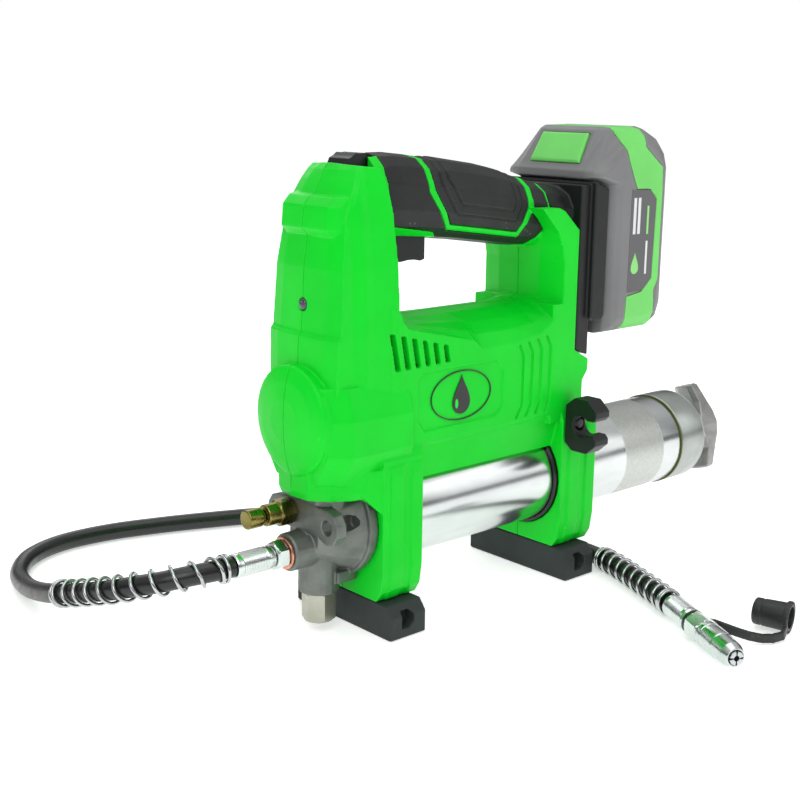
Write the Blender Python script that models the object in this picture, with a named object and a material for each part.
"""Cordless grease gun standing on its two feet, with its high-pressure hose laid beside it.

Frame: +X towards the plunger handle at the back, -X towards the pump head, +Z up.
The origin is the middle of the front foot's underside.
Every length in this file is in millimetres and every builder converts it to metres.
"""

import math

import bmesh
import bpy
from mathutils import Matrix, Vector

MM = 0.001
GAP = 0.3               # clearance between touching pieces

# --- driving dimensions ---------------------------------------------------------------
BARREL_Z = 59.0         # barrel axis above the ground
BARREL_R = 28.5         # outer radius of a barrel for a 400 g cartridge
BARREL_WALL = 1.4
BARREL_X = (-12.0, 246.6)
GEAR_Z = 117.5          # motor, gearbox and crank axis
LIGHT_Z = 176.4         # work light axis
BODY_Y = 31.5           # half width of the housing's flat sides
CLAMP_Y = 34.0          # half width of the barrel clamps
FOOT_Y = 40.15          # half width of the feet
FOOT_TOP = 18.6
FRONT_CLAMP = (-12.1, 14.9)
REAR_CLAMP = (125.2, 154.4)
PLUNGER_X = -28.6       # pump cylinder axis
PORT_Z = 47.5           # hose port axis
PORT_X = -50.6          # hose port face
MODULE = 0.8            # gear module
SUN_TEETH = 12
PLANET_TEETH = 18
RING_TEETH = 48
CRANK_THROW = 6.0
ROD_X = (4.0, 292.0)    # follower rod
BATTERY_Y = 37.0
HOSE_R = 5.3
SPRING_R = 7.6
WIRE_R = 0.95

# Route of the hose: out of the front sleeve, down to the ground, round behind the gun
# and under the barrel to the coupler.
HOSE_ROUTE = [
    (-84.3, 0.0, 47.5), (-88.5, 0.1, 47.5), (-97.5, 1.9, 47.3), (-107.0, 6.0, 46.2),
    (-116.0, 12.9, 43.8), (-124.0, 23.8, 40.3), (-131.0, 41.0, 34.5), (-135.6, 73.0, 24.5),
    (-135.0, 104.0, 15.5), (-130.5, 134.0, 9.0),
    (-121.5, 162.0, 6.2), (-104.0, 184.5, 5.6), (-78.0, 196.0, 5.6), (-46.0, 195.8, 5.6),
    (-14.0, 187.6, 5.6), (18.0, 176.0, 5.6), (54.0, 160.0, 5.6), (88.0, 139.0, 5.6),
    (117.0, 112.0, 5.6), (140.5, 79.0, 5.6), (156.0, 42.0, 5.6), (163.0, 6.0, 5.6),
    (161.3, -21.0, 6.4), (157.0, -39.0, 7.8), (149.6, -61.0, 8.7), (138.8, -88.0, 8.7),
    (132.2, -104.0, 8.7), (126.2, -116.2, 8.7),
]
COUPLER_DIR = Vector((-0.458, -0.889, 0.0)).normalized()
HOSE_STEP = 17.0


# --- small geometry kit ---------------------------------------------------------------

def clear_scene():
    for thing in list(bpy.data.objects):
        bpy.data.objects.remove(thing)


def paint(name, rgb, roughness, metallic=0.0):
    material = bpy.data.materials.new(name)
    material.use_nodes = True
    shader = material.node_tree.nodes["Principled BSDF"]
    shader.inputs["Base Color"].default_value = (*rgb, 1.0)
    shader.inputs["Roughness"].default_value = roughness
    shader.inputs["Metallic"].default_value = metallic
    material.diffuse_color = (*rgb, 1.0)
    return material


def outward(bm):
    """Turn every face outwards."""
    bmesh.ops.recalc_face_normals(bm, faces=bm.faces)
    if bm.calc_volume(signed=True) < 0:
        bmesh.ops.reverse_faces(bm, faces=bm.faces)
    return bm


def skin(rings, loop=False):
    """Closed surface through rings of equal point count; end rings are capped unless looped."""
    bm = bmesh.new()
    rows = [[bm.verts.new(Vector(p) * MM) for p in ring] for ring in rings]
    count = len(rows[0])
    pairs = list(zip(rows, rows[1:]))
    if loop:
        pairs.append((rows[-1], rows[0]))
    for a, b in pairs:
        for i in range(count):
            j = (i + 1) % count
            bm.faces.new((a[i], a[j], b[j], b[i]))
    if not loop:
        bm.faces.new(rows[0])
        bm.faces.new(list(reversed(rows[-1])))
    bmesh.ops.remove_doubles(bm, verts=bm.verts, dist=1e-7)
    return outward(bm)


def place(axis, a, b, station):
    """Point with in-plane coordinates a, b (the other two axes in X, Y, Z order)."""
    if axis == "X":
        return (station, a, b)
    if axis == "Y":
        return (a, station, b)
    return (a, b, station)


def prism(axis, outline, low, high):
    return skin([[place(axis, a, b, s) for a, b in outline] for s in (low, high)])


def box(x, y, z):
    corners = [(x[0], y[0]), (x[1], y[0]), (x[1], y[1]), (x[0], y[1])]
    return prism("Z", corners, z[0], z[1])


def circle(centre, radius, steps, start=0.0):
    angles = [start + 2 * math.pi * i / steps for i in range(steps)]
    return [(centre[0] + radius * math.cos(t), centre[1] + radius * math.sin(t)) for t in angles]


def disc(axis, centre, radius, low, high, steps=32):
    return prism(axis, circle(centre, radius, steps), low, high)


def turned(axis, centre, profile, steps=32):
    """Solid of revolution; profile is (station, radius) from one end to the other."""
    bm = bmesh.new()
    rows = []
    for station, radius in profile:
        if radius < 1e-6:
            rows.append([bm.verts.new(Vector(place(axis, *centre, station)) * MM)])
            continue
        points = circle(centre, radius, steps)
        rows.append([bm.verts.new(Vector(place(axis, a, b, station)) * MM) for a, b in points])
    for row, following in zip(rows, rows[1:]):
        for i in range(steps):
            j = (i + 1) % steps
            if len(row) == 1:
                bm.faces.new((row[0], following[j], following[i]))
            elif len(following) == 1:
                bm.faces.new((row[i], row[j], following[0]))
            else:
                bm.faces.new((row[i], row[j], following[j], following[i]))
    for row in (rows[0], rows[-1]):
        if len(row) > 1:
            bm.faces.new(row)
    return outward(bm)


def hollow_turned(axis, centre, profile, steps=32):
    """Ring-shaped solid of revolution; profile is a closed loop of (station, radius)."""
    rings = []
    for i in range(steps):
        angle = 2 * math.pi * i / steps
        ring = []
        for station, radius in profile:
            a = centre[0] + radius * math.cos(angle)
            b = centre[1] + radius * math.sin(angle)
            ring.append(place(axis, a, b, station))
        rings.append(ring)
    return skin(rings, loop=True)


def pipe(axis, centre, outer, inner, low, high, steps=32):
    profile = [(low, inner), (low, outer), (high, outer), (high, inner)]
    return hollow_turned(axis, centre, profile, steps)


def aim(bm, origin, direction):
    """Turn a piece made along +X from zero so that it runs along direction from origin."""
    turn = Vector(direction).to_track_quat("X", "Z").to_matrix().to_4x4()
    bmesh.ops.transform(bm, matrix=Matrix.Translation(Vector(origin) * MM) @ turn, verts=bm.verts)
    return bm


def merge(*pieces):
    """One mesh holding several solids."""
    whole = pieces[0]
    for piece in pieces[1:]:
        lookup = {}
        for v in piece.verts:
            lookup[v] = whole.verts.new(v.co)
        for f in piece.faces:
            whole.faces.new([lookup[v] for v in f.verts])
        piece.free()
    return whole


def solid(name, bm, material, smooth=32.0):
    mesh = bpy.data.meshes.new(name)
    bm.to_mesh(mesh)
    bm.free()
    thing = bpy.data.objects.new(name, mesh)
    bpy.context.scene.collection.objects.link(thing)
    mesh.materials.append(material)
    mesh.shade_smooth()
    mesh.set_sharp_from_angle(angle=math.radians(smooth))
    return thing


def evaluated(thing):
    """The mesh that the modifiers make."""
    graph = bpy.context.evaluated_depsgraph_get()
    graph.update()
    return bpy.data.meshes.new_from_object(thing.evaluated_get(graph))


def is_closed(mesh):
    bm = bmesh.new()
    bm.from_mesh(mesh)
    closed = len(bm.faces) > 0 and all(len(e.link_faces) == 2 for e in bm.edges)
    bm.free()
    return closed


def combine(thing, bm, operation):
    """Boolean with the exact solver, or the manifold one where the exact one leaves a gap."""
    tool = solid("tool", bm, thing.data.materials[0])
    tool.hide_render = True
    tool.display_type = "WIRE"
    step = thing.modifiers.new(operation, "BOOLEAN")
    step.operation = operation
    step.object = tool
    mesh = evaluated(thing)
    if not is_closed(mesh):
        step.solver = "MANIFOLD"
        mesh = evaluated(thing)
    thing.modifiers.clear()
    thing.data = mesh
    bpy.data.objects.remove(tool)


def fuse(thing, *pieces):
    for bm in pieces:
        combine(thing, bm, "UNION")


def carve(thing, *pieces):
    for bm in pieces:
        combine(thing, bm, "DIFFERENCE")


def keep(thing, bm):
    combine(thing, bm, "INTERSECT")


def tidy(thing, smooth=32.0):
    """Dissolve the flat triangles that Booleans leave and set the smooth shading again."""
    for merge_distance, angle in ((1e-6, 1.0), (0.0, 0.5), (0.0, 0.05)):
        bm = bmesh.new()
        bm.from_mesh(thing.data)
        if merge_distance:
            bmesh.ops.remove_doubles(bm, verts=bm.verts, dist=merge_distance)
        limit = math.radians(angle)
        bmesh.ops.dissolve_limit(bm, angle_limit=limit, verts=bm.verts, edges=bm.edges)
        mesh = thing.data.copy()
        bm.to_mesh(mesh)
        bm.free()
        if is_closed(mesh):
            thing.data = mesh
            break
    thing.data.shade_smooth()
    thing.data.set_sharp_from_angle(angle=math.radians(smooth))


def mirrored(thing, name):
    """The same piece on the far side of the seam plane."""
    bm = bmesh.new()
    bm.from_mesh(thing.data)
    bmesh.ops.transform(bm, matrix=Matrix.Diagonal((1, -1, 1, 1)), verts=bm.verts)
    bmesh.ops.reverse_faces(bm, faces=bm.faces)
    return solid(name, bm, thing.data.materials[0])


def pivot(thing, point):
    """Put the object's origin on its joint without moving its surface."""
    offset = Vector(point) * MM
    thing.data.transform(Matrix.Translation(-offset))
    thing.location = offset


def smooth_path(route, step):
    """Points about a step apart on a Catmull-Rom curve through the route."""
    knots = [Vector(p) for p in route]
    knots = [2 * knots[0] - knots[1]] + knots + [2 * knots[-1] - knots[-2]]
    fine = []
    for a, b, c, d in zip(knots, knots[1:], knots[2:], knots[3:]):
        for k in range(12):
            t = k / 12
            fine.append(0.5 * ((2 * b) + (c - a) * t + (2 * a - 5 * b + 4 * c - d) * t * t
                               + (3 * b - a - 3 * c + d) * t ** 3))
    fine.append(knots[-2])
    lengths = [0.0]
    for a, b in zip(fine, fine[1:]):
        lengths.append(lengths[-1] + (b - a).length)
    count = max(2, round(lengths[-1] / step))
    points = []
    k = 0
    for i in range(count + 1):
        target = lengths[-1] * i / count
        while k < len(fine) - 2 and lengths[k + 1] < target:
            k += 1
        span = lengths[k + 1] - lengths[k]
        points.append(fine[k].lerp(fine[k + 1], (target - lengths[k]) / span))
    return points


def coil(path, radius, wire, turns, steps=10, sides=5, closed_turns=1.0):
    """Spring of round wire around a path, with its end turns wound close."""
    points = [Vector(p) for p in path]
    lengths = [0.0]
    for a, b in zip(points, points[1:]):
        lengths.append(lengths[-1] + (b - a).length)
    total = lengths[-1]

    def along(distance):
        k = 0
        while k < len(points) - 2 and lengths[k + 1] < distance:
            k += 1
        t = (distance - lengths[k]) / (lengths[k + 1] - lengths[k])
        return points[k].lerp(points[k + 1], t), (points[k + 1] - points[k]).normalized()

    pitch = 2 * wire + 0.35
    lead = pitch * closed_turns
    open_pitch = (total - 2 * lead - 2 * wire) / (turns - 2 * closed_turns)
    centres = []
    for i in range(int(turns * steps) + 1):
        turn = i / steps
        if turn < closed_turns:
            distance = pitch * turn
        elif turn > turns - closed_turns:
            distance = total - 2 * wire - pitch * (turns - turn)
        else:
            distance = lead + open_pitch * (turn - closed_turns)
        spot, tangent = along(distance + wire)
        side = tangent.cross(Vector((0, 0, 1)))
        if side.length < 0.1:
            side = Vector((0, 1, 0))
        side.normalize()
        up = side.cross(tangent).normalized()
        angle = 2 * math.pi * turn
        centres.append((spot + radius * (math.cos(angle) * side + math.sin(angle) * up), tangent))
    rings = []
    for k, (centre, tangent) in enumerate(centres):
        before = centres[max(k - 1, 0)][0]
        after = centres[min(k + 1, len(centres) - 1)][0]
        along_wire = (after - before).normalized()
        across = tangent.cross(along_wire).normalized()
        third = along_wire.cross(across)
        rings.append([centre + wire * (math.cos(t) * across + math.sin(t) * third)
                      for t in (2 * math.pi * s / sides for s in range(sides))])
    return skin(rings)


def hexagon(flats, start=30.0):
    return circle((0, 0), flats / math.sqrt(3), 6, math.radians(start))


def hex_bar(axis, centre, flats, low, high, start=30.0):
    outline = [(a + centre[0], b + centre[1]) for a, b in hexagon(flats, start)]
    return prism(axis, outline, low, high)


# --- materials ------------------------------------------------------------------------

def make_paints():
    return {
        "green": paint("green_plastic", (0.02, 0.72, 0.07), 0.42),
        "black": paint("black_plastic", (0.018, 0.022, 0.022), 0.5),
        "rubber": paint("grip_rubber", (0.03, 0.033, 0.035), 0.6),
        "hose": paint("hose_rubber", (0.012, 0.012, 0.013), 0.45),
        "zinc": paint("zinc_plate", (0.78, 0.80, 0.80), 0.28, 1.0),
        "chrome": paint("barrel_chrome", (0.82, 0.84, 0.84), 0.2, 1.0),
        "cast": paint("cast_aluminium", (0.48, 0.49, 0.48), 0.5, 0.9),
        "brass": paint("brass", (0.72, 0.52, 0.22), 0.32, 1.0),
        "copper": paint("copper", (0.72, 0.38, 0.24), 0.35, 1.0),
        "nickel": paint("beige_passivate", (0.62, 0.62, 0.52), 0.35, 0.9),
        "steel": paint("steel", (0.55, 0.56, 0.58), 0.35, 1.0),
        "olive": paint("olive_gasket", (0.16, 0.19, 0.05), 0.5),
        "grey": paint("battery_grey", (0.24, 0.24, 0.24), 0.5),
        "light_green": paint("battery_green", (0.15, 0.82, 0.18), 0.45),
        "lens": paint("light_lens", (0.75, 0.8, 0.85), 0.1),
        "board": paint("circuit_board", (0.02, 0.2, 0.06), 0.5),
        "white": paint("contact_carrier", (0.7, 0.7, 0.68), 0.5),
    }


# --- housing --------------------------------------------------------------------------

def tower_ring(z, front, nose, half, step_x, back):
    low = max(front + 5.6, step_x - 8.4)
    mid = max(low + 1.2, step_x - 1.7)
    high = max(mid + 1.2, step_x + 3.0)
    return [(front, 3.0, z), (front, 0.0, z), (front + 1.2, -0.64 * nose, z),
            (front + 3.5, -0.97 * nose, z), (low - 0.6, -half + 0.1, z), (low, -half, z),
            (mid, -half - 2.0, z), (high, -half - 2.0, z), (back, -half - 3.7, z),
            (back, 3.0, z)]


def tower():
    """Upright tower; z, front, half width at the front and behind it, step, back."""
    stations = [
        (112.0, -42.5, 28.3, 28.3, -19.6, 2.0), (146.0, -42.1, 28.7, 28.3, -19.6, 2.0),
        (161.0, -41.4, 29.2, 28.2, -19.6, -0.9), (162.6, -39.9, 29.1, 28.2, -19.6, -0.9),
        (180.0, -38.6, 28.8, 27.4, -19.6, -0.9), (195.0, -37.9, 28.0, 26.8, -19.7, -1.2),
        (211.0, -35.6, 26.2, 25.4, -20.0, -2.2), (222.0, -34.0, 23.4, 24.4, -20.4, -3.0),
        (231.0, -31.1, 19.8, 23.2, -21.0, -4.4), (238.0, -27.6, 17.6, 21.4, -20.4, -6.0),
        (243.0, -24.8, 14.6, 19.2, -18.0, -6.4), (246.0, -22.4, 9.4, 17.2, -15.4, -6.0),
        (249.4, -16.0, 8.4, 13.4, -10.4, -4.6),
    ]
    return skin([tower_ring(*s) for s in stations])


def visor():
    """Raised bump near the top of the tower."""
    profile = [(-24.0, 232.0), (-33.6, 230.2), (-37.8, 225.7), (-38.9, 214.5), (-35.0, 210.6),
               (-24.0, 209.5)]
    rings = []
    for y, shift in ((2.4, 0.0), (-0.1, 0.0), (-18.2, 0.9), (-22.6, 6.6)):
        rings.append([(x + shift if x < -30 else x, y, z) for x, z in profile])
    return skin(rings)


def gear_bulge():
    """Round gearbox end with a domed cap."""
    profile = [(-51.6, 0.0), (-51.0, 11.0), (-49.4, 21.0), (-48.0, 26.0), (-47.0, 28.2),
               (-45.9, 28.8), (9.0, 28.8)]
    return turned("X", (0.0, GEAR_Z), profile, 30)


def side_panel():
    """Faceted bulge beside the gearbox."""
    inner = -8.0

    def ring(x, top, upper, lower, bottom):
        return [(x, inner, 137.0), (x, top, 137.0), (x, upper, 120.8), (x, upper, 102.4),
                (x, bottom, 86.0), (x, inner, 86.0)]

    return skin([ring(-44.0, -22.0, -27.6, 0, -16.0), ring(-33.6, -29.6, -35.0, 0, -26.0),
                 ring(6.4, -29.6, -35.0, 0, -26.0), ring(7.4, -28.6, -34.0, 0, -25.0)])


def body_ring(x, crown, shoulder):
    return [(x, 3.6, 80.0), (x, 3.6, crown), (x, 0.2, crown), (x, -9.0, crown - 0.8),
            (x, -19.0, crown - 0.22 * (crown - shoulder) - 1.4),
            (x, -26.5, crown - 0.55 * (crown - shoulder) - 1.0), (x, -BODY_Y, shoulder),
            (x, -BODY_Y, 101.6), (x, -29.5, 99.0), (x, -24.0, 80.0)]


def body():
    """Lower body between the tower and the battery column; x, crown, side edge height."""
    stations = [(-6.0, 176.0, 174.0), (0.0, 174.0, 171.6), (2.2, 169.0, 167.0),
                (5.5, 166.4, 163.4), (14.0, 165.4, 161.0), (52.5, 165.0, 152.2),
                (59.0, 165.0, 147.2), (84.0, 165.0, 147.0), (104.0, 165.0, 149.8),
                (113.0, 166.0, 154.8), (118.5, 168.5, 158.2), (122.0, 173.0, 161.5)]
    rings = [body_ring(*s) for s in stations]
    rings.append([(133.0, y, z) for _, y, z in body_ring(133.0, 173.0, 163.0)])
    return skin(rings)


def body_rear():
    """Rear of the body below the battery base."""
    outline = [(115.0, 165.0), (134.8, 165.0), (134.8, 137.0), (147.0, 130.5), (147.0, 124.0),
               (142.6, 118.0), (142.6, 96.0), (115.0, 96.0)]
    return prism("Y", outline, -BODY_Y + 0.06, 4.2)


def column_ring(z, seam, rim, back=134.8):
    return [(seam, 4.8, z), (seam, 0.1, z), (seam + 0.8, -16.0, z),
            (0.5 * (seam + 0.8 + rim) + 0.4, -25.5, z), (rim, -BODY_Y + 0.12, z),
            (back, -BODY_Y + 0.12, z), (back, 4.8, z)]


def column():
    """Column that carries the battery base and joins the grip."""
    rings = [column_ring(150.0, 118.2, 123.4), column_ring(188.0, 118.2, 123.4),
             column_ring(198.0, 117.4, 121.5), column_ring(206.0, 114.6, 117.0),
             column_ring(212.5, 109.5, 110.5, 134.0), column_ring(219.0, 103.0, 104.0, 117.5)]
    return skin(rings)


def clamp(x):
    """Block around the barrel with two ribs."""
    outline = [(5.4, 102.5), (-BODY_Y + 0.2, 102.5), (-33.0, 96.0), (-33.0, 34.0), (-31.2, 24.0),
               (-27.5, FOOT_TOP), (5.4, FOOT_TOP)]
    rib = [(-10.0, 99.7), (-30.2, 98.3), (-CLAMP_Y + 0.6, 92.7), (-CLAMP_Y, 87.7),
           (-CLAMP_Y, 36.0), (-32.4, 25.0), (-28.9, FOOT_TOP + 0.4), (-10.0, FOOT_TOP + 0.4)]
    span = x[1] - x[0]
    block = prism("X", outline, x[0], x[1] - 0.2)
    ribs = [prism("X", rib, x[0] + 0.20 * span, x[0] + 0.52 * span),
            prism("X", rib, x[0] + 0.72 * span, x[1])]
    return block, ribs


def neck():
    """Skirt that joins the gearbox to the front clamp, open above the pump head."""
    top = [(-46.7, 6.0), (-46.7, 0.3), (-45.5, -13.0), (-36.0, -24.5), (-20.0, -29.0),
           (-8.3, -30.8), (0.6, -BODY_Y + 0.5), (0.6, 6.0)]
    low = [(-46.7, 6.0), (-46.7, 0.3), (-45.5, -12.0), (-38.0, -21.0), (-28.0, -27.0),
           (-13.5, -30.8), (0.6, -BODY_Y + 0.5), (0.6, 6.0)]
    rim = [(-45.4, 6.0), (-45.4, 0.3), (-44.3, -11.4), (-37.2, -20.0), (-27.6, -25.7),
           (-13.5, -29.4), (0.6, -BODY_Y + 1.5), (0.6, 6.0)]
    return skin([[(x, y, 76.8) for x, y in rim], [(x, y, 80.4) for x, y in low],
                 [(x, y, 88.5) for x, y in low], [(x, y, 97.7) for x, y in top]])


def cheek():
    """Wedge from the skirt down to the clamp's front face."""
    return skin([[(-26.0, -24.0, 92.0), (-26.0, -27.5, 92.0), (-26.0, -27.5, 82.0),
                  (-26.0, -24.0, 82.0)],
                 [(-8.0, -20.0, 98.0), (-8.0, -CLAMP_Y + 0.4, 92.0), (-8.0, -CLAMP_Y + 0.4, 64.0),
                  (-8.0, -20.0, 64.0)]])


def grip_section(x, top, bottom, half, inset=0.0, count=14):
    """Rounded-square grip section across X."""
    middle = 0.5 * (top + bottom)
    tall = 0.5 * (top - bottom) - inset
    wide = half - inset
    ring = []
    for i in range(count):
        t = 2 * math.pi * (i + 0.5) / count
        c, s = math.cos(t), math.sin(t)
        power = 0.78
        ring.append((x, wide * math.copysign(abs(c) ** power, c),
                     middle + tall * math.copysign(abs(s) ** power, s)))
    return ring


GRIP_STATIONS = [
    (-4.0, 250.6, 207.5, 17.5), (12.0, 250.8, 206.8, 19.0), (26.0, 249.4, 205.8, 19.5),
    (40.0, 247.6, 204.6, 19.5), (58.0, 245.2, 202.8, 19.5), (77.0, 242.4, 200.2, 19.5),
    (98.0, 238.2, 197.4, 19.8), (110.0, 235.2, 196.2, 20.6), (119.0, 232.6, 195.4, 21.6),
    (128.0, 229.6, 196.0, 22.6),
]


def grip(inset):
    """Grip solid; an inset one is also a little shorter at both ends."""
    rings = [grip_section(*s, inset=inset) for s in GRIP_STATIONS]
    shift = 0.3 * inset
    rings[0] = [(x + shift, y, z) for x, y, z in rings[0]]
    rings[-1] = [(x - shift, y, z) for x, y, z in rings[-1]]
    return skin(rings)


PAD_OUTLINE = [(31.5, 262.0), (31.5, 248.0), (33.6, 232.0), (47.0, 212.6), (98.0, 205.8),
               (104.5, 219.0), (103.5, 232.0), (100.0, 245.0), (98.0, 262.0)]
LINE_OUTLINE = [(27.8, 262.0), (27.8, 248.0), (30.0, 230.6), (45.6, 210.0), (99.5, 202.6),
                (108.4, 219.0), (107.2, 233.0), (103.6, 245.0), (101.0, 262.0)]
COLLAR_OUTLINE = [(1.6, 262.0), (1.9, 240.0), (4.4, 224.0), (6.8, 213.8), (38.0, 209.2),
                  (45.5, 203.5), (50.0, 190.0), (95.0, 185.0), (107.0, 192.0), (116.5, 206.0),
                  (119.0, 220.0), (118.0, 232.0), (113.5, 262.0)]
GRIP_DEPTH = 1.8


def green_grip():
    """Grip core with the raised green lines that frame the rubber."""
    core = solid("core", grip(GRIP_DEPTH), PAINTS["green"])
    lines = solid("lines", grip(0.0), PAINTS["green"])
    keep(lines, prism("Y", LINE_OUTLINE, -40.0, 40.0))
    carve(lines, prism("Y", PAD_OUTLINE, -41.0, 41.0))
    ends = solid("ends", grip(0.0), PAINTS["green"])
    carve(ends, prism("Y", COLLAR_OUTLINE, -40.0, 40.0))
    return core, lines, ends


def bm_of(thing):
    bm = bmesh.new()
    bm.from_mesh(thing.data)
    bpy.data.objects.remove(thing)
    return bm


def slanted_vent(k):
    """One of six slanted slots that get shorter towards the back."""
    x = -7.3 + 7.45 * k
    top = 162.0 - 1.9 * k
    low = 142.0 + 0.1 * k
    lean = 0.2 * (top - low)
    outline = [(x, top), (x + 3.6, top - 0.7), (x + 3.6 + lean, low), (x + lean, low)]
    return prism("Y", outline, -BODY_Y - 8.0, -BODY_Y + 5.0)


def chevron_vent(k):
    """One of four bent grooves."""
    x = 86.8 + 7.4 * k
    rise = 0.9 * k
    left = [(x, 145.4 + rise), (x + 3.4, 139.0 + rise), (x + 3.2, 110.0 + 0.4 * k),
            (x - 1.0 + 0.6 * k, 103.4 + 0.3 * k)]
    right = [(a + 2.3, b) for a, b in left]
    return prism("Y", left + right[::-1], -BODY_Y - 2.0, -BODY_Y + 1.5)


def badge_outline(grow=0.0):
    points = [(16.4, 139.0), (70.4, 138.8), (75.8, 132.0), (75.8, 112.2), (70.6, 108.0),
              (17.2, 107.4), (12.8, 113.3), (12.8, 135.0)]
    middle = Vector((44.3, 123.3))
    return [tuple(Vector(p) + (Vector(p) - middle).normalized() * grow) for p in points]


def housing_cavity():
    """Spaces inside the housing."""
    return [
        turned("X", (0.0, GEAR_Z), [(-46.0, 0.0), (-46.0, 17.0), (-44.0, 23.3), (3.0, 23.3),
                                    (3.0, 0.0)], 28),
        disc("X", (0.0, GEAR_Z), 18.6, 2.0, 72.0, 20),
        box((9.0, 121.0), (-28.3, 5.0), (104.5, 143.0)),
        box((-33.0, -6.0), (-23.0, 5.0), (130.0, 196.0)),
        box((-28.0, -6.0), (-17.5, 5.0), (190.0, 226.0)),
        box((-24.0, 8.0), (-16.0, 5.0), (200.0, 229.5)),
        box((0.0, 106.0), (-12.0, 5.0), (213.0, 228.0)),
        box((100.0, 121.0), (-12.0, 5.0), (210.0, 221.0)),
        box((124.8, 132.0), (-26.0, 5.0), (108.0, 204.0)),
        box((106.0, 132.0), (-9.0, 5.0), (198.0, 222.0)),
        prism("Z", [(-40.8, 5.0), (-40.8, -12.0), (-35.5, -17.6), (-17.4, -17.6), (-17.4, 5.0)],
              74.0, 101.6),
    ]


def housing_openings():
    """Slots and seats cut through the housing's wall."""
    tools = [
        disc("X", (0.0, BARREL_Z), BARREL_R + GAP, -26.0, 170.0, 36),
        disc("X", (0.0, BARREL_Z), BARREL_R + 2.6, REAR_CLAMP[0] - 2.5, REAR_CLAMP[0] + 1.6, 28),
        disc("X", (0.0, BARREL_Z), 31.4, -18.8, FRONT_CLAMP[0] + 0.1, 28),
        disc("X", (0.0, LIGHT_Z), 3.45, -60.0, -30.0, 14),
        prism("Y", [(-30.0, 247.6), (-25.5, 246.9), (-17.4, 245.2), (-8.0, 244.2),
                    (-4.3, 243.4), (-4.3, 262.0), (-30.0, 262.0)], -40.0, 5.0),
        box((-19.2, 3.6), (-8.7, 5.0), (228.5, 262.0)),
        disc("Y", (-8.0, 240.8), 1.9, -11.4, 5.0, 16),
        box((7.6, 37.6), (-8.7, 5.0), (190.0, 216.0)),
        box((124.0, 136.0), (-20.0, 5.0), (150.0, 203.0)),
        prism("Y", badge_outline(), -BODY_Y - 1.0, -BODY_Y + 1.0),
    ]
    tools += [slanted_vent(k) for k in range(6)]
    tools += [chevron_vent(k) for k in range(4)]
    return tools


def screw_posts():
    return [(-26.0, 184.0), (64.0, 112.0), (112.0, 128.0), (112.0, 205.5), (6.0, 236.0)]


def build_housing():
    near = solid("housing_left", tower(), PAINTS["green"])
    core, lines, ends = green_grip()
    fuse(near, visor(), gear_bulge(), side_panel(), body(), body_rear(), column(), neck(), cheek())
    for span in (FRONT_CLAMP, REAR_CLAMP):
        block, ribs = clamp(span)
        fuse(near, block, *ribs)
    sleeve_space = solid("space", grip(-GAP), PAINTS["green"])
    keep(sleeve_space, prism("Y", shrink(COLLAR_OUTLINE, 0.05), -50.0, 50.0))
    carve(near, bm_of(sleeve_space))
    fuse(near, bm_of(core), bm_of(lines), bm_of(ends))
    carve(near, *housing_cavity())
    carve(near, *housing_openings())
    carve(near, grip_cut())
    keep(near, box((-80.0, 180.0), (-60.0, -0.5 * GAP), (0.0, 270.0)))
    tidy(near)
    far = mirrored(near, "housing_right")
    for k, (x, z) in enumerate(screw_posts()):
        tool = disc("Y", (x, z), 3.1, 16.0, 50.0, 16)
        carve(far, tool)
    tidy(far)
    carve(near, disc("Y", (131.2, 95.6), 2.1, -40.0, -21.0, 12))
    tidy(near)
    return near, far


def grip_cut():
    """Clears the battery base's seat behind the grip."""
    outline = [(119.6, 262.0), (119.6, 219.3), (134.5, 206.2), (135.2, 206.0), (160.0, 206.0),
               (160.0, 262.0)]
    return prism("Y", outline, -50.0, 50.0)


def grip_rubber(name, side, region, hole):
    """Rubber skin over the grip core on one side, inside region and outside hole."""
    piece = solid(name, grip(0.05), PAINTS["rubber"])
    carve(piece, grip(GRIP_DEPTH - GAP))
    keep(piece, prism("Y", region, -45.0, 45.0))
    if hole:
        carve(piece, prism("Y", hole, -46.0, 46.0))
    half = (-40.0, -0.5 * GAP) if side < 0 else (0.5 * GAP, 40.0)
    keep(piece, box((-20.0, 150.0), half, (180.0, 270.0)))
    tidy(piece, 40.0)
    return piece


def shrink(outline, amount):
    """Outline moved inwards by amount."""
    points = [Vector(p) for p in outline]
    count = len(points)
    area = sum(points[i].x * points[(i + 1) % count].y - points[(i + 1) % count].x * points[i].y
               for i in range(count))
    sign = 1.0 if area > 0 else -1.0
    moved = []
    for i in range(count):
        a, b, c = points[i - 1], points[i], points[(i + 1) % count]
        n1 = Vector((-(b - a).y, (b - a).x)).normalized() * sign
        n2 = Vector((-(c - b).y, (c - b).x)).normalized() * sign
        bisector = (n1 + n2).normalized()
        moved.append(tuple(b + bisector * (amount / max(0.3, bisector.dot(n1)))))
    return moved


def build_grip():
    pad = shrink(PAD_OUTLINE, 1.5 * GAP)
    collar = shrink(COLLAR_OUTLINE, GAP)
    line = shrink(LINE_OUTLINE, -GAP)
    for side, label in ((-1, "left"), (1, "right")):
        grip_rubber("grip_pad_" + label, side, pad, None)
        grip_rubber("grip_sleeve_" + label, side, collar, line)


# --- battery base, trigger, dial, light -----------------------------------------------

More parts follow.
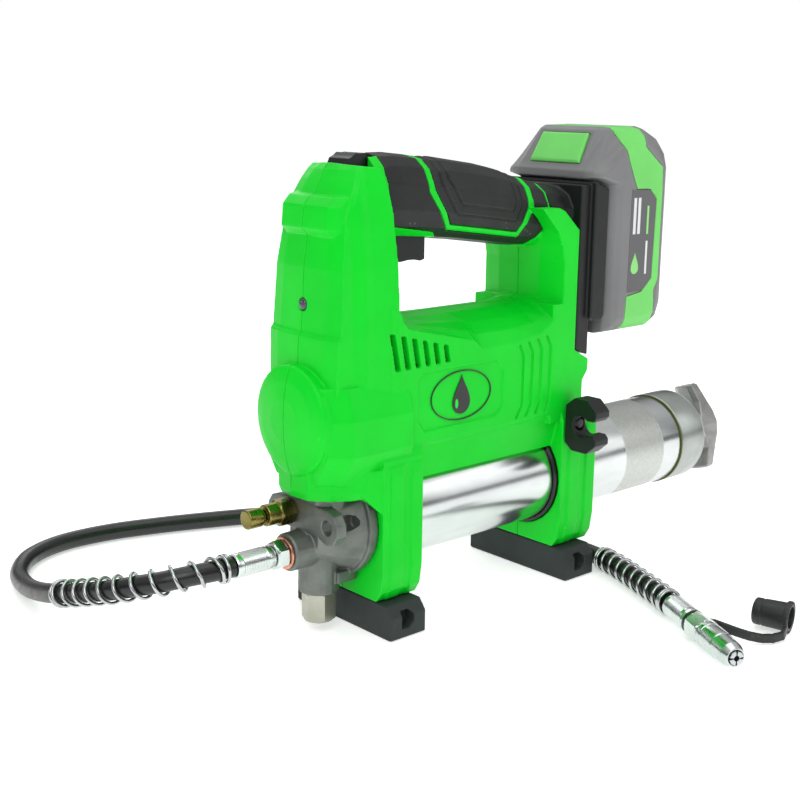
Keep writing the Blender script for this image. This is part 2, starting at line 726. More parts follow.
def build_battery_base():
    frame = [(143.4, 155.5), (147.0, 153.0), (153.4, 153.0), (155.3, 156.0), (155.3, 228.6),
             (143.4, 232.7)]
    thing = solid("battery_base", prism("Y", frame, -34.6, 34.6), PAINTS["black"])
    saddle = [grip_section(x, top, bottom, half) for x, top, bottom, half in
              ((119.9, 231.8, 195.4, 21.6), (132.0, 230.4, 195.8, 24.0),
               (144.6, 230.2, 190.0, 30.0))]
    fuse(thing, skin(saddle))
    wedge = [(135.5, 231.0), (146.0, 231.0), (146.0, 132.0), (135.5, 137.5)]
    fuse(thing, prism("Y", wedge, -31.3, 31.3))
    carve(thing, prism("Y", [(112.0, 219.8), (119.9, 219.8), (135.1, 206.5), (135.1, 185.0),
                             (112.0, 185.0)], -50.0, 50.0))
    carve(thing, prism("Y", [(137.2, 131.4), (148.2, 125.8), (148.2, 132.0), (140.0, 135.5)],
                       -50.0, 50.0))
    carve(thing, box((130.0, 150.5), (-18.3, 18.3), (163.7, 190.3)))
    carve(thing, box((147.6, 162.0), (-26.0, 26.0), (159.0, 240.0)))
    carve(thing, box((147.6, 151.9), (-29.2, 29.2), (159.5, 241.0)))
    tidy(thing)
    return thing


def build_terminal_block():
    thing = solid("terminal_block", box((141.5, 149.0), (-18.0, 18.0), (164.0, 190.0)),
                  PAINTS["black"])
    fins = [box((148.0, 155.4), (y - 0.5, y + 0.5), (166.0, 188.0)) for y in (-13, -4.5, 4.5, 13)]
    fuse(thing, *fins)
    tidy(thing)
    return thing


def build_control_board():
    solid("control_board", box((126.0, 127.6), (-18.0, 18.0), (114.0, 160.0)), PAINTS["board"])


def build_trigger():
    lever = [(8.6, 209.6), (8.6, 198.0), (11.4, 196.2), (16.4, 194.2), (20.0, 193.9),
             (26.0, 194.6), (31.0, 194.4), (34.0, 193.6), (36.9, 194.4), (36.9, 211.6),
             (8.6, 213.6)]
    thing = solid("trigger", prism("Y", lever, -8.1, 8.1), PAINTS["black"])
    fuse(thing, box((16.0, 34.0), (-3.0, 3.0), (210.0, 215.6)))
    tidy(thing)
    pivot(thing, (22.0, 0.0, 206.0))
    switch = solid("trigger_switch", box((12.0, 40.0), (-7.5, 7.5), (221.5, 227.6)),
                   PAINTS["black"])
    fuse(switch, box((24.0, 31.0), (-2.4, 2.4), (221.0, 222.5)))
    tidy(switch)
    path = [(12.6, 0.0, 213.6), (12.6, 0.0, 217.0), (12.6, 0.0, 221.2)]
    solid("trigger_spring", coil(path, 2.2, 0.35, 5, 8, 3), PAINTS["steel"])


def build_dial():
    outline = []
    for k in range(24):
        radius = 10.4 if k % 2 else 9.7
        angle = 2 * math.pi * k / 24
        outline.append((-8.0 + radius * math.cos(angle), 240.8 + radius * math.sin(angle)))
    thing = solid("speed_dial", prism("Y", outline, -8.0, 8.0), PAINTS["black"])
    fuse(thing, disc("Y", (-8.0, 240.8), 1.6, -10.9, 10.9, 16))
    tidy(thing)
    pivot(thing, (-8.0, 0.0, 240.8))
    return thing


def build_light():
    profile = [(-39.9, 0.0), (-39.7, 1.4), (-39.1, 2.6), (-38.3, 3.1), (-32.7, 3.1),
               (-32.7, 4.6), (-31.2, 4.6), (-31.2, 0.0)]
    solid("led_lens", turned("X", (0.0, LIGHT_Z), profile, 14), PAINTS["lens"])


def build_badge():
    rim = solid("badge", oval(22.4, 13.6), PAINTS["black"])
    carve(rim, oval(21.6, 12.8, 2.0))
    drop = []
    for k in range(16):
        t = 2 * math.pi * k / 16
        rise = math.sin(t)
        wide = 1.0 if rise < 0 else 1.0 - 0.9 * rise ** 1.4
        drop.append((44.3 + 7.0 * math.cos(t) * wide,
                     119.6 + (16.9 if rise > 0 else 7.0) * rise))
    fuse(rim, prism("Y", drop, -31.12, -30.82))
    tidy(rim)


# --- feet, clip, fasteners ------------------------------------------------------------

def build_foot(name, x0, x1):
    outline = [(-FOOT_Y, 0.4), (-FOOT_Y + 1.2, 0.0), (FOOT_Y - 1.2, 0.0), (FOOT_Y, 0.4),
               (FOOT_Y, 12.6), (FOOT_Y - 4.8, FOOT_TOP - GAP), (-FOOT_Y + 4.8, FOOT_TOP - GAP),
               (-FOOT_Y, 12.6)]
    thing = solid(name, prism("X", outline, x0, x1), PAINTS["rubber"])
    middle = 0.5 * (x0 + x1)
    for side in (-1, 1):
        hole = [(middle - 4.4, 15.0), (middle - 4.4, 5.0), (middle + 1.0, 5.0),
                (middle + 4.2, 8.0), (middle + 4.2, 12.0), (middle + 1.0, 15.0)]
        low, high = sorted((side * (FOOT_Y + 1.0), side * 32.4))
        carve(thing, prism("Y", hole, low, high))
    for y in (-19.0, 19.0):
        carve(thing, disc("Z", (middle, y), 2.3, -1.0, 30.0, 12))
        carve(thing, disc("Z", (middle, y), 4.4, -1.0, 4.0, 12))
    tidy(thing)
    return thing


def build_clip():
    middle = (-46.0, 95.6)
    outer = [(-34.3, 84.5), (-39.5, 80.2), (-50.5, 80.2), (-57.2, 86.0), (-57.2, 105.5),
             (-50.5, 111.4), (-40.5, 111.4), (-34.3, 106.5)]
    thing = solid("hose_clip", prism("X", outer, 125.4, 137.0), PAINTS["black"])
    carve(thing, disc("X", middle, 5.9, 120.0, 140.0, 24))
    carve(thing, box((120.0, 140.0), (-60.0, -46.0), (91.5, 99.7)))
    carve(thing, disc("Y", (131.2, 95.6), 2.2, -45.0, -30.0, 12))
    carve(thing, disc("Y", (131.2, 95.6), 4.0, -45.0, -38.4, 16))
    carve(thing, prism("X", [(-58.5, 99.0), (-55.0, 99.5), (-58.5, 103.5)], 120.0, 140.0))
    carve(thing, prism("X", [(-58.5, 92.2), (-55.0, 91.7), (-58.5, 87.7)], 120.0, 140.0))
    tidy(thing)
    profile = [(-40.9, 0.0), (-40.7, 2.8), (-40.0, 3.6), (-38.7, 3.6), (-38.7, 1.7),
               (-24.0, 1.7), (-22.5, 0.0)]
    screw = solid("hose_clip_screw", turned("Y", (131.2, 95.6), profile, 16), PAINTS["steel"])
    return thing, screw


# --- barrel ---------------------------------------------------------------------------

def build_barrel():
    tube = pipe("X", (0.0, BARREL_Z), BARREL_R, BARREL_R - BARREL_WALL, *BARREL_X, steps=40)
    solid("barrel_tube", tube, PAINTS["chrome"])
    ring = [(REAR_CLAMP[0] - 2.0, BARREL_R + 0.25), (REAR_CLAMP[0] - 2.0, BARREL_R + 1.4),
            (REAR_CLAMP[0] - 1.3, BARREL_R + 2.1), (REAR_CLAMP[0] + 1.2, BARREL_R + 2.1),
            (REAR_CLAMP[0] + 1.2, BARREL_R + 0.25)]
    solid("barrel_seal_ring", hollow_turned("X", (0.0, BARREL_Z), ring, 32), PAINTS["rubber"])
    gasket = pipe("X", (0.0, BARREL_Z), 29.3, 26.0, 246.9, 247.8, 32)
    solid("cap_gasket", gasket, PAINTS["olive"])
    profile = [(238.0, 24.8), (238.0, 25.7), (248.1, 25.7), (248.1, 28.6), (248.7, 29.2),
               (270.6, 29.2), (272.0, 28.6), (275.2, 26.4), (278.6, 22.2), (281.2, 16.5),
               (282.8, 9.5), (283.1, 4.4), (270.0, 4.4), (266.0, 24.8)]
    cap = hollow_turned("X", (0.0, BARREL_Z), profile, 28)
    solid("end_cap", cap, PAINTS["zinc"])


def build_follower():
    plate_profile = [(4.0, 3.5), (4.0, 24.0), (5.6, 26.2), (7.6, 26.2), (8.6, 23.0),
                     (10.4, 23.0), (11.4, 26.2), (13.2, 26.2), (14.2, 24.0), (14.2, 3.5)]
    plate = hollow_turned("X", (0.0, BARREL_Z), plate_profile, 18)
    solid("follower_plate", plate, PAINTS["rubber"])
    rod_profile = [(1.0, 0.0), (1.0, 5.4), (3.7, 5.4), (3.7, 3.2), (14.4, 3.2), (14.4, 4.0),
                   (290.6, 4.0), (290.6, 3.4), (305.0, 3.4), (306.0, 2.6), (306.0, 0.0)]
    rod = turned("X", (0.0, BARREL_Z), rod_profile, 20)
    thing = solid("follower_rod", rod, PAINTS["steel"])
    pivot(thing, (150.0, 0.0, BARREL_Z))
    points = [(x, 0.0, BARREL_Z) for x in (14.8, 60.0, 110.0, 180.0, 237.6)]
    spring = solid("follower_spring", coil(points, 21.0, 1.3, 10, 8, 3), PAINTS["steel"])
    return thing, spring


def build_handle():
    rings = []
    stations = [(-29.0, 296.0, 305.0, 6.2), (-28.0, 295.0, 306.5, 7.6),
                (-16.0, 299.0, 312.5, 8.6), (-8.0, 297.5, 316.6, 9.4), (0.0, 293.0, 318.2, 10.0),
                (8.0, 297.5, 316.6, 9.4), (16.0, 299.0, 312.5, 8.6), (28.0, 295.0, 306.5, 7.6),
                (29.0, 296.0, 305.0, 6.2)]
    for station, front, back, half in stations:
        ring = []
        for a, b in ((front, -0.55), (front + 1.6, -1.0), (back - 2.0, -0.8), (back, -0.45),
                     (back, 0.45), (back - 2.0, 0.8), (front + 1.6, 1.0), (front, 0.55)):
            ring.append(Vector((a, b * half, station)))
        rings.append(ring)
    tilt = Matrix.Rotation(math.radians(-18.0), 3, "X")
    middle = Vector((0.0, 0.0, BARREL_Z))
    rings = [[tilt @ p + middle for p in ring] for ring in rings]
    thing = solid("t_handle", skin(rings), PAINTS["cast"])
    fuse(thing, turned("X", (0.0, BARREL_Z), [(285.0, 0.0), (285.0, 8.2), (286.0, 9.0),
                                              (300.0, 9.6), (300.0, 0.0)], 24))
    carve(thing, turned("X", (0.0, BARREL_Z), [(280.0, 0.0), (280.0, 4.3), (290.9, 4.3),
                                               (290.9, 3.7), (306.3, 3.7), (306.3, 0.0)], 20))
    tidy(thing, 38.0)
    pivot(thing, (300.0, 0.0, BARREL_Z))
    return thing


# --- pump head ------------------------------------------------------------------------

def build_pump_head():
    flange = [(-18.0, 0.0), (-18.0, 29.4), (-17.4, 30.0), (-12.9, 30.0), (-12.4, 29.4),
              (-12.4, 26.8), (-2.4, 26.8), (-2.4, 22.0), (-9.0, 20.0), (-9.0, 0.0)]
    thing = solid("pump_head", turned("X", (0.0, BARREL_Z), flange, 32), PAINTS["cast"])
    bowl = [[(x, y0 + r * math.cos(t), z0 + r * math.sin(t))
             for t in (2 * math.pi * k / 20 for k in range(20))]
            for x, y0, z0, r in ((-38.5, 0.0, 54.0, 12.0), (-33.0, 0.0, 55.5, 17.0),
                                 (-25.0, 0.0, 57.5, 23.5), (-17.6, 0.0, 58.8, 27.6))]
    fuse(thing, skin(bowl))
    boss = [(21.9, 0.0), (21.9, 10.4), (22.5, 11.0), (78.0, 11.0), (78.0, 0.0)]
    fuse(thing, turned("Z", (PLUNGER_X, 0.0), boss, 20))
    port = [(PORT_X, 0.0), (PORT_X, 9.4), (PORT_X + 0.9, 10.2), (-26.0, 10.6), (-26.0, 0.0)]
    fuse(thing, turned("X", (0.0, PORT_Z), port, 20))
    plate = [(-13.5, 57.0), (-20.2, 54.0), (-25.8, 55.5), (-29.4, 60.4), (-29.2, 66.5),
             (-26.0, 71.0), (-20.0, 73.0), (20.0, 73.0), (26.0, 71.0), (29.2, 66.5),
             (29.4, 60.4), (25.8, 55.5), (20.2, 54.0), (13.5, 57.0)]
    fuse(thing, prism("X", plate, -39.9, -33.4))
    fuse(thing, prism("Z", [(-39.4, -11.2), (-39.4, 11.2), (-34.6, 16.8), (-18.0, 16.8),
                            (-18.0, -16.8), (-34.6, -16.8)], 70.0, 82.4))
    fuse(thing, box((-26.0, -12.8), (-13.0, 13.0), (27.6, 34.0)))
    carve(thing, disc("X", (-20.5, 63.6), 4.1, -50.0, -20.0, 16))
    carve(thing, disc("X", (20.5, 63.6), 4.1, -50.0, -20.0, 16))
    carve(thing, disc("Z", (PLUNGER_X, 0.0), 5.3, 24.0, 97.0, 20))
    carve(thing, disc("Z", (PLUNGER_X, 0.0), 3.2, 10.0, 30.0, 14))
    carve(thing, disc("Z", (PLUNGER_X, 0.0), 6.2, 20.0, 26.4, 20))
    carve(thing, disc("X", (0.0, PORT_Z), 3.0, -60.0, -30.0, 14))
    carve(thing, disc("X", (0.0, PORT_Z), 5.2, -60.0, -42.0, 18))
    carve(thing, disc("X", (0.0, 50.0), 4.0, -24.5, 0.0, 14))
    carve(thing, disc("X", (9.5, 66.4), 4.5, -45.0, -34.6, 20))
    tidy(thing, 36.0)
    return thing


def build_pump_fittings():
    rotor = turned("Z", (PLUNGER_X, 0.0), [(34.0, 0.0), (34.0, 4.3), (34.6, 4.8), (80.0, 4.8),
                                           (80.0, 0.0)], 24)
    thing = solid("pump_plunger", rotor, PAINTS["steel"])
    fuse(thing, box((-33.6, -23.6), (-7.0, 7.0), (89.0, 97.0)))
    fuse(thing, disc("Z", (PLUNGER_X, 0.0), 3.0, 79.0, 90.0, 20))
    fuse(thing, box((-33.6, -30.2), (-14.4, 14.4), (95.0, 124.6)))
    carve(thing, prism("X", slot_outline((0.0, GEAR_Z), 10.2, 3.4), -40.0, -20.0))
    tidy(thing)
    pivot(thing, (PLUNGER_X, 0.0, 89.0))

    nut = solid("relief_valve_nut", hex_bar("Z", (PLUNGER_X, 0.0), 16.0, 5.4, 21.6, 12.0),
                PAINTS["nickel"])
    fuse(nut, disc("Z", (PLUNGER_X, 0.0), 5.9, 20.0, 26.1, 24))
    carve(nut, disc("Z", (PLUNGER_X, 0.0), 3.4, 9.0, 30.0, 20))
    limit = [(4.0, 0.0), (4.0, 7.2), (6.2, 9.4), (30.0, 9.4), (30.0, 0.0)]
    keep(nut, turned("Z", (PLUNGER_X, 0.0), limit, 18))
    tidy(nut)
    solid("check_ball", ball((PLUNGER_X, 0.0, 22.8), 2.9), PAINTS["steel"])

    body = solid("bleeder_body", hex_bar("X", (9.5, 66.4), 12.5, -49.4, -40.2, 0.0),
                 PAINTS["brass"])
    fuse(body, disc("X", (9.5, 66.4), 5.75, -57.0, -49.0, 24))
    fuse(body, disc("X", (9.5, 66.4), 4.2, -41.0, -35.0, 20))
    carve(body, disc("X", (9.5, 66.4), 2.9, -60.0, -42.0, 20))
    carve(body, disc("Z", (-45.0, 9.5), 1.0, 70.5, 76.0, 12))
    tidy(body)
    pin_profile = [(-68.6, 0.0), (-68.6, 4.6), (-68.1, 5.1), (-60.4, 5.1), (-59.8, 4.3),
                   (-58.8, 4.3), (-58.8, 2.5), (-44.0, 2.5), (-44.0, 0.0)]
    pin = solid("bleeder_pin", turned("X", (9.5, 66.4), pin_profile, 24), PAINTS["brass"])
    pivot(pin, (-58.8, 9.5, 66.4))


def slot_outline(centre, half, radius, steps=8):
    points = []
    for side in (1, -1):
        for k in range(steps + 1):
            t = math.pi * k / steps - 0.5 * math.pi
            points.append((centre[0] + side * (half - radius + radius * math.cos(t)),
                           centre[1] + side * radius * math.sin(t)))
    return points


def oval(a, b, extra=0.0):
    outline = [(44.3 + x * a, 123.3 + y * b) for x, y in circle((0, 0), 1.0, 28)]
    return prism("Y", outline, -31.15 - extra, -30.8 + extra)


def ball(centre, radius, rings=6, steps=12):
    profile = [(centre[2] - radius * math.cos(math.pi * k / rings),
                radius * math.sin(math.pi * k / rings)) for k in range(rings + 1)]
    profile[0] = (centre[2] - radius, 0.0)
    profile[-1] = (centre[2] + radius, 0.0)
    return turned("Z", (centre[0], centre[1]), profile, steps)


# --- hose -----------------------------------------------------------------------------

def hose_points():
    """Centre line, with a short straight piece at each fitting."""
    points = smooth_path(HOSE_ROUTE, HOSE_STEP)
    first = points[0] + Vector((-5.0, 0.0, 0.0))
    last = points[-1] - COUPLER_DIR * 5.0
    return [points[0], first] + points[1:-1] + [last, points[-1]]


def build_hose():
    points = hose_points()
    curve = bpy.data.curves.new("hose", "CURVE")
    curve.dimensions = "3D"
    curve.bevel_depth = HOSE_R * MM
    curve.bevel_resolution = 2
    curve.use_fill_caps = True
    line = curve.splines.new("POLY")
    line.points.add(len(points) - 1)
    for point, spot in zip(line.points, points):
        point.co = (*(spot * MM), 1.0)
    thing = bpy.data.objects.new("hose", curve)
    bpy.context.scene.collection.objects.link(thing)
    curve.materials.append(PAINTS["hose"])
    return thing


def build_hose_front():
    washer = pipe("X", (0.0, PORT_Z), 8.6, 5.3, -52.2, -50.9, 24)
    solid("copper_washer", washer, PAINTS["copper"])
    nut = solid("hose_nut", hex_bar("X", (0.0, PORT_Z), 14.0, -59.6, -52.5, 30.0), PAINTS["zinc"])
    fuse(nut, disc("X", (0.0, PORT_Z), 4.9, -54.0, -43.5, 20))
    carve(nut, disc("X", (0.0, PORT_Z), 1.8, -70.0, -40.0, 14))
    tidy(nut)
    profile = [(-60.0, 2.2), (-60.0, 5.6), (-62.0, 5.6), (-62.2, 6.4), (-83.0, 6.4),
               (-83.7, 6.0), (-83.7, 2.2)]
    solid("hose_sleeve_front", hollow_turned("X", (0.0, PORT_Z), profile, 20), PAINTS["zinc"])


def spring_along(name, start, end, turns):
    """Bend spring over the hose between two distances from its first point."""
    path = []
    walked = 0.0
    points = hose_points()
    for a, b in zip(points, points[1:]):
        span = (b - a).length
        for mark in (start, end):
            if walked <= mark < walked + span:
                path.append(a.lerp(b, (mark - walked) / span))
        walked += span
        if start < walked < end:
            path.append(b)
    coils = coil(path, SPRING_R - WIRE_R, WIRE_R, turns, 8, 3)
    return solid(name, coils, PAINTS["steel"])


def build_hose_rear():
    tip = Vector(HOSE_ROUTE[-1])
    start = tip + COUPLER_DIR * 0.5
    steps = [(0.0, 2.2), (0.0, 6.2), (0.6, 6.6), (21.4, 6.6), (23.4, 5.7), (26.6, 5.7),
             (26.6, 2.2)]
    sleeve = hollow_turned("X", (0.0, 0.0), steps, 20)
    solid("hose_sleeve_rear", aim(sleeve, start, COUPLER_DIR), PAINTS["zinc"])
    nut = solid("coupler_nut", aim(hex_bar("X", (0.0, 0.0), 13.6, 26.9, 39.6, 30.0), start,
                                   COUPLER_DIR), PAINTS["zinc"])
    carve(nut, aim(disc("X", (0.0, 0.0), 2.4, 20.0, 50.0, 14), start, COUPLER_DIR))
    tidy(nut)
    shell = [(39.9, 2.6), (39.9, 6.9), (41.0, 7.3), (56.2, 7.3), (57.0, 6.9), (66.0, 6.5),
             (70.6, 5.0), (70.6, 4.2), (60.0, 4.2), (60.0, 2.6)]
    body = hollow_turned("X", (0.0, 0.0), shell, 20)
    solid("coupler_body", aim(body, start, COUPLER_DIR), PAINTS["zinc"])
    jaws = []
    for k in range(4):
        low = math.radians(90 * k + 8)
        high = math.radians(90 * k + 82)
        arc = [low + (high - low) * i / 2 for i in range(3)]
        outline = [(3.9 * math.cos(t), 3.9 * math.sin(t)) for t in arc]
        outline += [(1.5 * math.cos(t), 1.5 * math.sin(t)) for t in reversed(arc)]
        jaws.append(aim(prism("X", outline, 61.0, 71.6), start, COUPLER_DIR))
    ring = aim(pipe("X", (0.0, 0.0), 3.85, 1.6, 60.4, 62.0, 14), start, COUPLER_DIR)
    thing = solid("coupler_jaws", ring, PAINTS["steel"])
    fuse(thing, *jaws)
    tidy(thing)


def build_dust_cap():
    centre = Vector((157.0, -159.5, 9.0))
    direction = Vector((0.28, -0.96, 0.0)).normalized()
    profile = [(-10.0, 0.0), (-10.0, 6.6), (-9.2, 7.4), (-6.0, 7.4), (9.0, 7.8), (10.0, 7.4),
               (10.0, 5.9), (-7.6, 5.9), (-7.6, 0.0)]
    cap = turned("X", (0.0, 0.0), profile, 20)
    solid("dust_cap", aim(cap, centre, direction), PAINTS["rubber"])
    ring_centre = Vector(HOSE_ROUTE[-1]) + COUPLER_DIR * 0.5
    ring = aim(pipe("X", (0.0, 0.0), 6.9, 5.95, 23.8, 26.2, 20), ring_centre, COUPLER_DIR)
    thing = solid("dust_cap_strap", ring, PAINTS["rubber"])
    root = ring_centre + COUPLER_DIR * 25.0
    side = Vector((-COUPLER_DIR.y, COUPLER_DIR.x, 0.0))
    if side.x < 0:
        side = -side
    route = [root + side * 6.4, root + side * 11.0 - Vector((0, 0, 1.2)),
             Vector((130.5, -161.5, 4.6)), Vector((138.5, -169.0, 3.0)),
             Vector((147.0, -172.6, 3.6)), Vector((152.2, -170.6, 5.4))]
    fuse(thing, ribbon(smooth_path(route, 6.0), 1.1, 2.4))
    seat = centre + direction * 8.6
    loop = aim(pipe("X", (0.0, 0.0), 8.9, 8.15, -1.2, 1.2, 20), seat, direction)
    fuse(thing, loop)
    tidy(thing, 40.0)


def ribbon(path, half_thick, half_wide):
    """Flat strap along a path, its wide side upright."""
    rings = []
    for k, spot in enumerate(path):
        before = path[max(k - 1, 0)]
        after = path[min(k + 1, len(path) - 1)]
        tangent = (after - before).normalized()
        side = tangent.cross(Vector((0, 0, 1))).normalized()
        up = side.cross(tangent).normalized()
        rings.append([spot + side * half_thick + up * half_wide,
                      spot - side * half_thick + up * half_wide,
                      spot - side * half_thick - up * half_wide,
                      spot + side * half_thick - up * half_wide])
    return skin(rings)


# --- motor and gearbox ----------------------------------------------------------------

def gear_outline(centre, teeth, tip, root, start):
    """Trapezoid teeth; start is the angle of the middle of one tooth."""
    points = []
    pitch = 2 * math.pi / teeth
    for k in range(teeth):
        middle = start + k * pitch
        for radius, offset in ((root, -0.36), (tip, -0.13), (tip, 0.13), (root, 0.36)):
            angle = middle + offset * pitch
            points.append((centre[0] + radius * math.cos(angle),
                           centre[1] + radius * math.sin(angle)))
    return points


def planet_centre(k):
    angle = 2 * math.pi * k / 3
    radius = 0.5 * MODULE * (SUN_TEETH + PLANET_TEETH)
    return radius * math.cos(angle), GEAR_Z + radius * math.sin(angle), angle


def build_gearbox():
    axis = (0.0, GEAR_Z)
    for k in range(3):
        y, z, angle = planet_centre(k)
        outline = gear_outline((y, z), PLANET_TEETH, 7.8, 6.25, angle + math.pi / PLANET_TEETH)
        planet = solid("planet_gear_%d" % (k + 1), prism("X", outline, -14.0, -5.4),
                       PAINTS["steel"])
        carve(planet, disc("X", (y, z), 2.5, -20.0, 0.0, 16))
        tidy(planet)
        pivot(planet, (-9.7, y, z))
    ring = solid("ring_gear", disc("X", axis, 22.5, -14.4, -4.9, 32), PAINTS["steel"])
    teeth = gear_outline(axis, RING_TEETH, 20.2, 18.65, math.pi / RING_TEETH)
    carve(ring, prism("X", teeth, -20.0, 0.0))
    tidy(ring)
    plate = pipe("X", axis, 22.5, 6.6, -4.5, 1.4, 24)
    solid("motor_plate", plate, PAINTS["cast"])
    bearing = pipe("X", axis, 22.5, 5.1, -21.3, -18.4, 24)
    solid("bearing_plate", bearing, PAINTS["cast"])
    carrier = solid("crank_carrier", disc("X", axis, 17.6, -18.0, -14.8, 24), PAINTS["steel"])
    for k in range(3):
        y, z, _ = planet_centre(k)
        fuse(carrier, disc("X", (y, z), 2.2, -15.5, -5.3, 12))
    fuse(carrier, disc("X", axis, 4.8, -22.5, -17.0, 16))
    fuse(carrier, disc("X", axis, 10.0, -24.6, -21.8, 20))
    fuse(carrier, disc("X", (0.0, GEAR_Z + CRANK_THROW), 2.9, -29.8, -24.0, 14))
    carve(carrier, disc("X", axis, 2.0, -18.5, -10.0, 16))
    tidy(carrier)
    pivot(carrier, (-16.4, 0.0, GEAR_Z))


def build_motor():
    axis = (0.0, GEAR_Z)
    shell = [(1.8, 7.0), (1.8, 17.9), (57.5, 17.9), (57.5, 6.0), (55.9, 6.0), (55.9, 16.6),
             (3.4, 16.6), (3.4, 7.0)]
    solid("motor_can", hollow_turned("X", axis, shell, 24), PAINTS["steel"])
    solid("motor_magnet", pipe("X", axis, 16.2, 13.2, 8.0, 50.0, 20), PAINTS["black"])
    rotor = solid("motor_rotor", disc("X", axis, 12.2, 11.0, 46.0, 28), PAINTS["steel"])
    for k in range(5):
        angle = 2 * math.pi * k / 5
        spot = (12.4 * math.cos(angle), GEAR_Z + 12.4 * math.sin(angle))
        carve(rotor, disc("X", spot, 1.5, 9.0, 48.0, 6))
    fuse(rotor, turned("X", axis, [(-14.6, 0.0), (-14.6, 1.55), (50.0, 1.55), (50.0, 5.0),
                                   (54.6, 5.0), (54.6, 1.55), (67.0, 1.55), (67.0, 0.0)], 12))
    fuse(rotor, prism("X", gear_outline(axis, SUN_TEETH, 5.4, 3.8, 0.0), -14.0, -4.9))
    fuse(rotor, disc("X", axis, 4.2, 59.6, 66.0, 20))
    for k in range(6):
        fuse(rotor, fan_blade(2 * math.pi * k / 6))
    tidy(rotor)
    pivot(rotor, (28.0, 0.0, GEAR_Z))


def fan_blade(angle):
    blade = []
    for x, twist in ((60.4, -0.16), (65.4, 0.16)):
        ring = []
        for radius, offset in ((3.4, -0.12), (15.4, -0.03), (15.4, 0.03), (3.4, 0.12)):
            t = angle + twist + offset
            ring.append((x, radius * math.cos(t), GEAR_Z + radius * math.sin(t)))
        blade.append(ring)
    return skin(blade)


# --- battery --------------------------------------------------------------------------

def battery_outline():
    return [(155.9, 143.6), (198.0, 143.6), (206.0, 148.0), (210.0, 158.5), (210.0, 240.0),
            (206.5, 249.5), (199.5, 257.0), (186.0, 263.0), (161.0, 262.7), (156.8, 260.9),
            (145.0, 240.4), (143.1, 238.2), (143.1, 234.0), (155.9, 229.4)]


BAND = [(163.0, 270.0), (165.3, 253.7), (171.0, 241.0), (178.1, 227.5), (189.6, 227.2),
        (196.2, 221.4), (195.0, 174.4), (186.0, 167.0), (172.5, 165.1), (171.0, 138.0),
        (197.0, 138.0), (198.4, 156.6), (197.6, 166.8), (201.5, 174.0), (201.5, 224.0),
        (200.4, 239.7), (183.6, 251.6), (182.0, 270.0)]


def hood_shift(y, z):
    """How far the hood's front edge steps back towards the sides."""
    return max(0.0, abs(y) - min(34.0, max(21.0, 34.0 - 0.526 * (z - 236.0))))


def battery_ring(y, side, inset):
    """Section across Y, drawn in by side + inset; the hood keeps most of its outline."""
    outline = battery_outline()
    full = shrink(outline, side + inset)
    hood = shrink(outline, min(side, 1.2) + inset)
    ring = []
    for k, (x, z) in enumerate(full):
        if k in (8, 9):
            x = hood[k][0] + hood_shift(y, outline[k][1])
        elif k in (10, 11, 12):
            x, z = hood[k]
            x += hood_shift(y, outline[k][1])
        elif k == 13:
            z = hood[k][1]
        ring.append((x, y * (1.0 - inset / 37.0), z))
    return ring


def battery_solid(inset):
    stations = ((21.0, 0.0), (26.0, 0.0), (31.6, 1.4), (35.4, 4.6), (37.0, 9.0))
    rings = [battery_ring(-y, side, inset) for y, side in reversed(stations)]
    rings += [battery_ring(y, side, inset) for y, side in stations]
    return skin(rings)


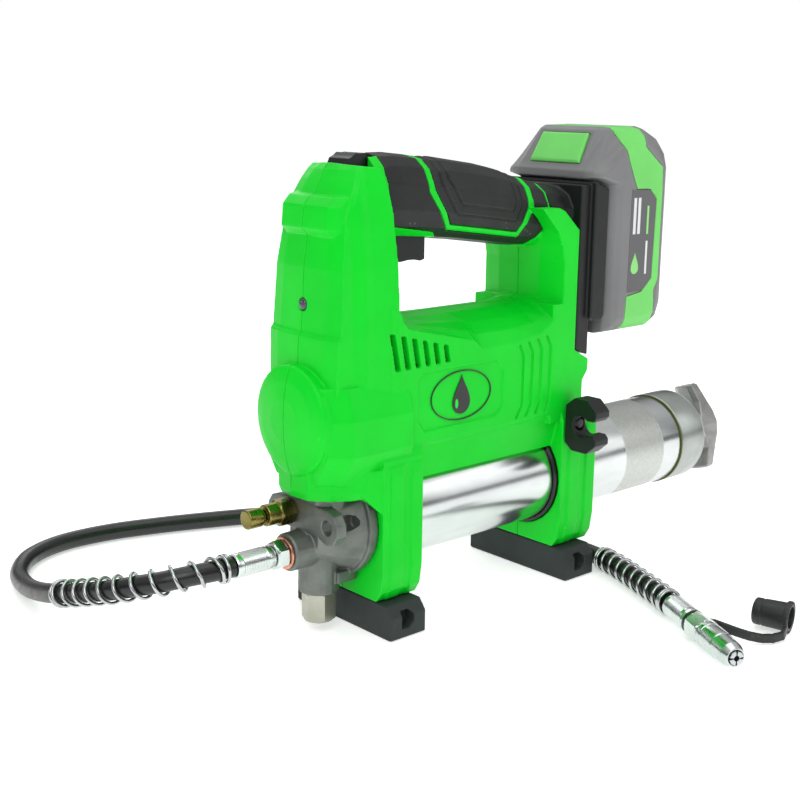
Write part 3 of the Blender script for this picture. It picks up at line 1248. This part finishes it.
def build_battery():
    shell = solid("battery_shell", battery_solid(0.0), PAINTS["grey"])
    fuse(shell, box((150.0, 162.0), (-25.5, 25.5), (162.6, 235.0)))
    fuse(shell, box((148.3, 151.4), (-28.7, 28.7), (162.4, 235.2)))
    groove = solid("groove", prism("Y", shrink(BAND, -GAP), -45.0, 45.0), PAINTS["grey"])
    carve(groove, battery_solid(1.5))
    carve(shell, bm_of(groove))
    carve(shell, box((163.0, 206.0), (-32.5, 32.5), (148.4, 236.0)))
    carve(shell, box((145.0, 159.2), (-19.5, 19.5), (158.0, 200.0)))
    carve(shell, box((158.0, 164.0), (-15.5, 15.5), (163.0, 193.0)))
    carve(shell, button_solid(19.3, 0.3, -6.0))
    tidy(shell)
    band = solid("battery_band", battery_solid(0.05), PAINTS["light_green"])
    carve(band, battery_solid(1.2))
    keep(band, prism("Y", BAND, -46.0, 46.0))
    tidy(band)
    button = solid("battery_release_button", button_solid(18.9, 0.0, -3.2), PAINTS["light_green"])
    tidy(button)
    pivot(button, (151.0, 0.0, 251.0))
    cells = []
    for z in (159.0, 178.4, 197.8, 217.2):
        for x in (175.6, 195.0):
            cells.append(disc("Y", (x, z), 9.2, -32.0, 32.0, 10))
    pack = solid("battery_cells", cells[0], PAINTS["steel"])
    fuse(pack, box((168.0, 202.6), (-1.5, 1.5), (151.4, 224.8)), *cells[1:])
    tidy(pack)


def button_solid(half, grow, floor):
    """Release button on the slanted front of the hood."""
    along = Vector((11.8, 0.0, 20.5)).normalized()
    out = Vector((-20.5, 0.0, 11.8)).normalized()
    root = Vector((150.9, 0.0, 250.65))
    rings = []
    for depth, inset in ((floor, 0.0), (0.6, 0.0), (1.4 + 6.0 * grow, 1.2 - 4.0 * grow)):
        ring = []
        for a, b in ((-9.6, -1.0), (-9.6, 1.0), (9.4, 0.93), (9.4, -0.93)):
            reach = a + (grow if a > 0 else -grow) - (inset if a > 0 else -inset)
            ring.append(root + along * reach + out * depth
                        + Vector((0.0, b * (half - inset), 0.0)))
        rings.append(ring)
    return skin(rings)


PAINTS = {}


def main():
    clear_scene()
    PAINTS.update(make_paints())
    build_housing()
    build_grip()
    build_battery_base()
    build_terminal_block()
    build_control_board()
    build_trigger()
    build_dial()
    build_light()
    build_badge()
    build_foot("front_foot", -12.1, 12.1)
    build_foot("rear_foot", 125.15, 149.35)
    build_clip()
    build_barrel()
    build_follower()
    build_handle()
    build_pump_head()
    build_pump_fittings()
    build_hose()
    build_hose_front()
    spring_along("hose_spring_front", 2.0, 114.0, 13)
    spring_along("hose_spring_rear", 638.0, 716.0, 10)
    build_hose_rear()
    build_dust_cap()
    build_gearbox()
    build_motor()
    build_battery()


main()
